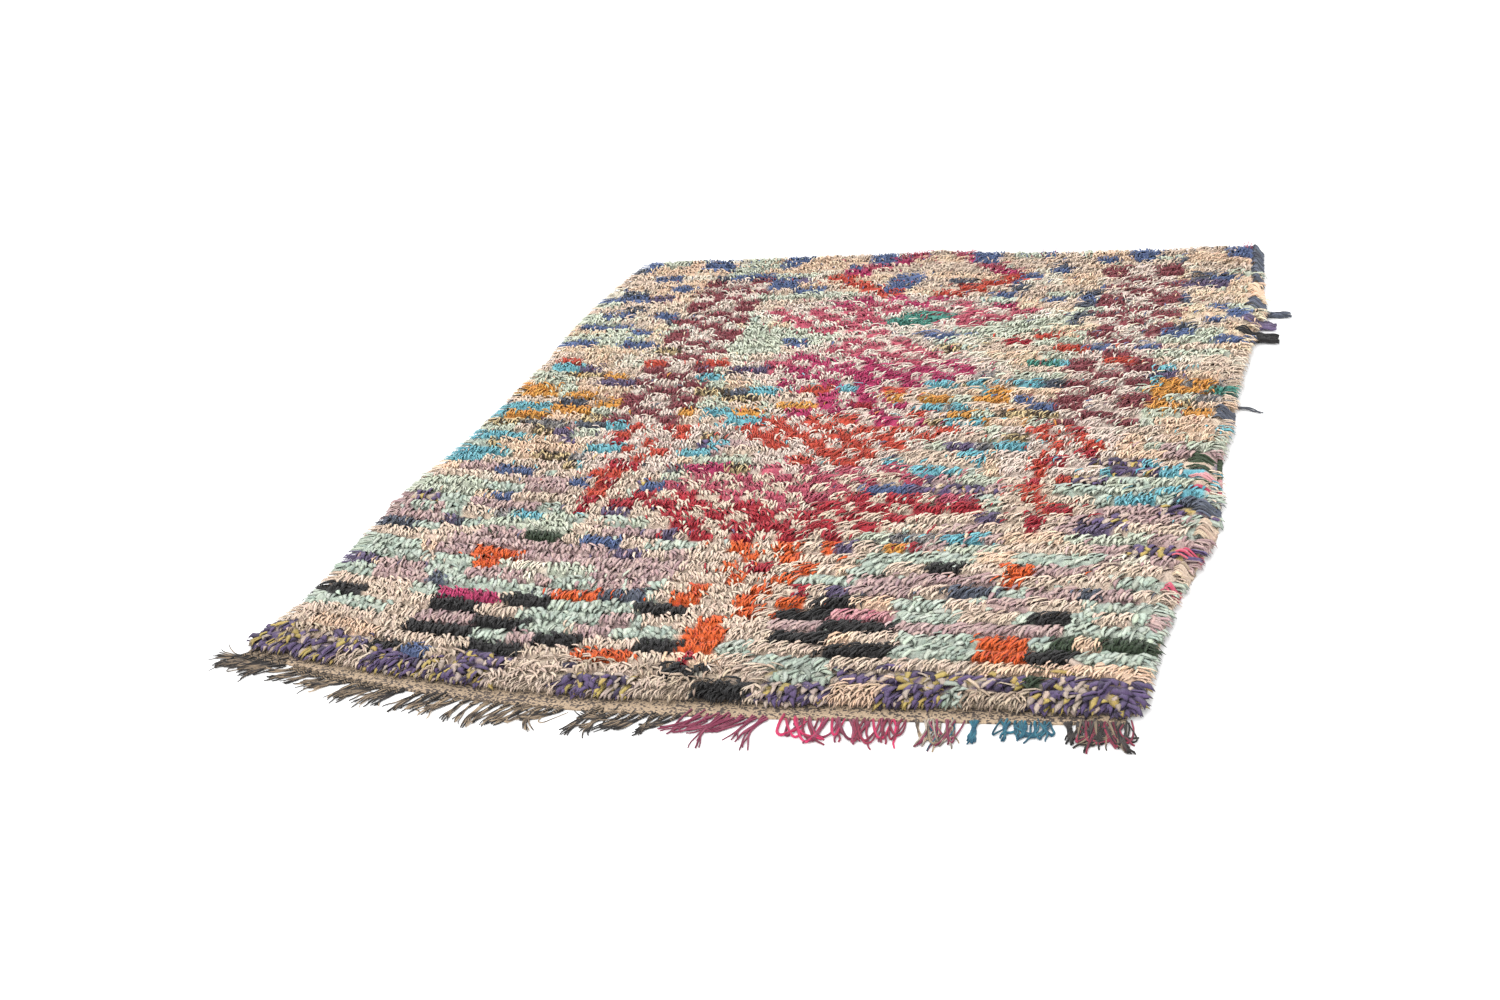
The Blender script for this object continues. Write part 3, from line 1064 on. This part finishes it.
def lay_fringe(chance):
    """Warp ends of the near end, on the floor: bunches of plied strands with a small knot near the band."""
    x, lean, reach, strands, thick, loops, kinds = zip(*bunches())
    x, lean, reach, strands, thick, loops = (np.array(a) for a in (x, lean, reach, strands, thick, loops))
    y = along(NEAR_EDGE, x) - GAP - along(BAND_NEAR, x)
    owner = np.repeat(np.arange(len(x)), strands)
    place = (np.arange(len(owner)) - np.repeat(np.cumsum(strands) - strands, strands)) / strands[owner]
    looped = chance.random(len(owner)) < loops[owner]
    path = strand_paths(x, y, lean, reach, thick, owner, place, looped, chance)
    radius = YARN_RADIUS * (1.1 - 0.35 * np.linspace(0, 1, STRAND_STATIONS) ** 3).reshape(1, -1, 1)
    radius = radius * thick[owner][:, None, None] * chance.uniform(0.75, 1.2, (len(owner), 1, 1))
    shape = tube_shape(path, radius, radius, STRAND_SIDES)
    chosen = [chance.choice(kinds[i].split()) for i in owner]
    tone = 1 + 0.14 * spread(chance, (len(owner), 1))
    first, second = (linear([YARNS[k][i] for k in chosen]) * tone for i in (0, 1))
    station, around = np.meshgrid(np.arange(STRAND_STATIONS), np.arange(STRAND_SIDES), indexing="ij")
    turns = (station * PLY_TURN + around / STRAND_SIDES).ravel()
    looks = plied(first, second, STRAND_STATIONS * STRAND_SIDES, turns)
    yarn = yarn_material()
    strands_piece = new_piece("fringe_strands", *shape, looks, [yarn], "marled_warp", "near_fringe")

    stations = len(KNOT_SWELLINGS)
    steps = np.linspace(0.35, 1.35, stations)[None, :]
    heading = np.stack((-np.sin(lean), -np.cos(lean)), axis=1)
    centres = np.stack((x, y), axis=1)[:, None, :] + heading[:, None, :] * (BUNCH_KNOT * steps)[..., None]
    path = np.concatenate((centres, np.full((len(x), stations, 1), KNOT_LIFT)), axis=2)
    size = np.array(KNOT_SWELLINGS)[None, :, None] * chance.uniform(0.7, 1.1, (len(x), 1, 1))
    shape = tube_shape(path, KNOT_WIDTH * size, KNOT_HEIGHT * size, KNOT_SIDES)
    station, around = np.meshgrid(np.arange(stations), np.arange(KNOT_SIDES), indexing="ij")
    first, second = (linear([YARNS[k.split()[0]][i] for k in kinds]) for i in (0, 1))
    looks = plied(first, second, stations * KNOT_SIDES, (station * 0.5 + around / KNOT_SIDES).ravel())
    knots_piece = new_piece("fringe_knots", *shape, looks, [yarn], "marled_warp", "near_fringe")
    return [strands_piece, knots_piece]


CORD_STATIONS = 720
CORD_SIDES = 10
STITCH = 0.0065
CORD_COLOURS = {
    "side_cord_left": [(-0.90, 0.30, "taupe"), (0.30, 0.42, "slate"), (0.42, 0.70, "taupe"),
                       (0.70, 0.90, "slate")],
    "side_cord_right": [(-0.90, 0.90, "taupe")] + [(y - 0.5 * d, y + 0.5 * d, cloth)
                                                   for y, d, _, cloth in WRAPS],
}
WRAP_STATIONS = 9
WRAP_SIDES = 6
WRAP_STEP = 0.0042
WRAP_HEIGHT = 0.0012
WRAP_LOW = 0.0022


def lay_wraps(chance):
    """Rags wound over the right edge: strips side by side, from the pile over its rim and down to the floor.

    The way runs straight outwards. The height falls from the top to WRAP_LOW as a smooth step.
    """
    y, reach, cloths = [], [], []
    for middle, length, onto, cloth in WRAPS:
        count = max(2, round(length / WRAP_STEP))
        y.append(middle + length * ((np.arange(count) + 0.5) / count - 0.5))
        reach.append(np.full(count, onto))
        cloths.append(np.full(count, NAMES.index(cloth)))
    y, reach, cloths = (np.concatenate(a) for a in (y, reach, cloths))
    size = (len(y), 1)
    way = np.linspace(0, 1, WRAP_STATIONS)[None, :]
    onto = reach[:, None] * chance.uniform(0.85, 1.15, size)
    edge = along(RIGHT_EDGE, y)[:, None] + GAP + CORD_WIDTH + 0.001
    x = edge - (1 - way) * (onto + CORD_WIDTH) + 0.0008 * np.sin(7 * way + 6 * chance.random(size))
    top = CREST - 0.0045 + 0.001 * chance.standard_normal(size)
    z = WRAP_LOW + (top - WRAP_LOW) * (1 - smooth(0.30, 1.0, way)) - 0.006 * (1 - smooth(0.0, 0.3, way))
    path = np.stack((x, y[:, None] - 0.010 * way + 0.002 * chance.standard_normal(size), z), axis=2)
    half = 0.5 * WRAP_STEP * chance.uniform(1.0, 1.5, (len(y), 1, 1)) * np.ones((1, WRAP_STATIONS, 1))
    shape = tube_shape(path, half, WRAP_HEIGHT + 0 * half, WRAP_SIDES)
    colours = np.repeat(rag_colours(cloths, chance), WRAP_STATIONS * WRAP_SIDES, axis=0)
    look = rag_material("wound_rags", 0.25, 0.0006, 1200)
    return [new_piece("edge_wraps", *shape, {"rag_colour": colours}, [look], "overcast_rag",
                      "side_cord_right")]


def lay_side_cords(chance):
    """Overcast cords: an oval rope beside each edge, in runs of different rags.

    Slanting stitches swell it by a rectified sine of the way and of the angle round it.
    """
    made = []
    look = rag_material("overcast_rags", 0.3, 0.0006, 1200)
    for name, side in (("side_cord_left", -1), ("side_cord_right", 1)):
        length = np.linspace(0.001, 0.999, CORD_STATIONS)
        x, y = on_rug(np.full(CORD_STATIONS, 0.0 if side < 0 else 1.0), length)
        height = np.full_like(x, CORD_HEIGHT / 2 + 0.0003)
        path = np.stack((x + side * (GAP + CORD_WIDTH / 2), y, height), axis=1)
        angle = 2 * math.pi * np.arange(CORD_SIDES) / CORD_SIDES
        stitches = 0.86 + 0.22 * np.abs(np.sin(math.pi * y[:, None] / STITCH + 0.5 * angle[None, :]))
        shape = tube_shape(path[None], CORD_WIDTH / 2 * stitches[None], CORD_HEIGHT / 2 * stitches[None],
                           CORD_SIDES)
        cloths = np.zeros(CORD_STATIONS, int)
        for low, high, cloth in CORD_COLOURS[name]:
            cloths[(y >= low) & (y < high)] = NAMES.index(cloth)
        per_stitch = (y / STITCH).astype(int) - int(y.min() / STITCH)
        colours = linear([CLOTHS[n][1][0][0] for n in NAMES])[cloths]
        colours = colours * chance.uniform(0.8, 1.15, per_stitch.max() + 2)[per_stitch][:, None]
        per_point = np.repeat(colours, CORD_SIDES, axis=0)
        made.append(new_piece(name + "_overcast", *shape, {"rag_colour": per_point}, [look],
                              "overcast_rag", name))
    return made


def tail_path(y, reach, droop, stations):
    """Middle line of a rag end: out of the right cord, bent to the near end with the square of the way."""
    way = np.linspace(0, 1, stations)
    x = along(RIGHT_EDGE, np.array([y]))[0] + 0.5 * CORD_WIDTH + reach * way
    return np.stack((x, y - droop * way ** 2, np.full(stations, 0.0024)), axis=1)


# Rag ends: y, length, root width, tip width, droop, strips that it is frayed into, thickness, cloth
TAILS = {
    "blue_rag_end": (0.487, 0.056, 0.022, 0.026, 0.002, 11, 0.0036, "slate"),
    "purple_rag_end": (0.430, 0.036, 0.036, 0.026, 0.010, 4, 0.0070, "purple"),
    "black_rag_end": (0.368, 0.054, 0.032, 0.032, 0.010, 4, 0.0100, "black"),
    "grey_rag_end": (0.068, 0.058, 0.010, 0.004, 0.024, 2, 0.0024, "marl"),
}
TAIL_STATIONS = 16
TAIL_SIDES = 8
TAIL_WAVE = 0.0030


def lay_rag_ends(chance):
    """Rag ends held by the right side cord: flat strips side by side along a bent line, torn at their tips.

    Each strip waves sideways and up as a sine of the way, and its section swells and thins by 0.12.
    """
    look = rag_material("rag_ends", 0.35, 0.0007, 1300)
    made = []
    for name, (y, reach, root, tip, droop, count, thick, cloth) in TAILS.items():
        base = tail_path(y, reach, droop, TAIL_STATIONS)
        way = np.linspace(0, 1, TAIL_STATIONS)
        width = root + (tip - root) * way
        spots = (np.arange(count) - (count - 1) / 2) / count
        path = np.repeat(base[None], count, axis=0)
        shorten = chance.uniform(0.82, 1.0, (count, 1))
        path[:, :, 0] = base[0, 0] + (path[:, :, 0] - base[0, 0]) * shorten
        sway = 0.0012 * np.sin(9 * way + 6 * chance.random((count, 1)))
        path[:, :, 1] += spots[:, None] * width[None, :] + sway
        path[:, :, 2] = 0.5 * thick + TAIL_WAVE * np.abs(np.sin(5 * way + 6 * chance.random((count, 1))))
        half = (0.62 * width / count)[None, :, None] * (1.05 - 0.5 * way[None, :, None] ** 6)
        angle = 2 * math.pi * np.arange(TAIL_SIDES) / TAIL_SIDES
        crumple = 1 + 0.12 * np.sin(23 * way[None, :, None] + 3 * angle + 6 * chance.random((count, 1, 1)))
        shape = tube_shape(path, half * crumple, 0.45 * thick * crumple, TAIL_SIDES)
        colours = rag_colours(np.full(count, NAMES.index(cloth)), chance)
        per_point = np.repeat(colours, TAIL_STATIONS * TAIL_SIDES, axis=0)
        made.append(new_piece(name, *shape, {"rag_colour": per_point}, [look], "overcast_rag",
                              "side_cord_right"))
    return made


# Lights: place, point that it faces, size in metres and power in watts
LIGHTS = {
    "key_light": ((0.2, -2.6, 3.0), (0, -0.2, 0), 2.6, 78),
    "fill_light": ((-2.4, 1.4, 2.6), (0, 0, 0), 3.0, 40),
}
ROOM_STRENGTH = 1.36


def set_camera():
    """The photograph's view: turned left from +Y, pitched down and rolled."""
    yaw, pitch, roll = (math.radians(a) for a in (YAW, PITCH, ROLL))
    ahead = Vector((-math.sin(yaw) * math.cos(pitch), math.cos(yaw) * math.cos(pitch), -math.sin(pitch)))
    level = Vector((math.cos(yaw), math.sin(yaw), 0))
    above = level.cross(ahead)
    right = level * math.cos(roll) + above * math.sin(roll)
    up = above * math.cos(roll) - level * math.sin(roll)
    data = bpy.data.cameras.new("camera")
    data.sensor_width = 36
    data.lens = LENS
    camera = bpy.data.objects.new("camera", data)
    turn = Matrix((right, up, -ahead)).transposed().to_4x4()
    camera.matrix_world = Matrix.Translation(EYE) @ turn
    bpy.context.scene.collection.objects.link(camera)
    bpy.context.scene.camera = camera


def set_stage():
    """A plain pale floor under the rug, just below its flat underside."""
    bpy.ops.mesh.primitive_plane_add(size=40, location=(0, 0, -0.0005))
    floor = bpy.context.object
    floor.name = "floor"
    mat, _, shader = cloth_material("pale_floor", 0.9, 0.0)
    shader.inputs["Base Color"].default_value = (*PALE_FLOOR, 1)
    floor.data.materials.append(mat)


def area_light(name, place, aim, size, power):
    """A square soft light that faces a point."""
    data = bpy.data.lights.new(name, "AREA")
    data.size = size
    data.energy = power
    light = bpy.data.objects.new(name, data)
    light.location = place
    light.rotation_euler = (Vector(aim) - Vector(place)).to_track_quat("-Z", "Y").to_euler()
    bpy.context.scene.collection.objects.link(light)


def set_lights():
    """Soft studio light: a bright room, a large light above the near side and a weaker one, far left."""
    world = bpy.data.worlds.new("studio")
    world.use_nodes = True
    world.node_tree.nodes["Background"].inputs["Color"].default_value = (1, 1, 1, 1)
    world.node_tree.nodes["Background"].inputs["Strength"].default_value = ROOM_STRENGTH
    bpy.context.scene.world = world
    bpy.context.scene.view_settings.view_transform = "Standard"
    for name, light in LIGHTS.items():
        area_light(name, *light)


def main():
    set_camera()
    chance = np.random.default_rng(SEED)
    chart = chart_of_knots()
    ground = lay_ground(chart, chance)
    pile = lay_pile(chart, chance)
    bands = lay_bands()
    fringe = lay_fringe(chance)
    cords = lay_side_cords(chance)
    ends = lay_wraps(chance) + lay_rag_ends(chance) + lay_threads(chance)
    set_stage()
    set_lights()


main()
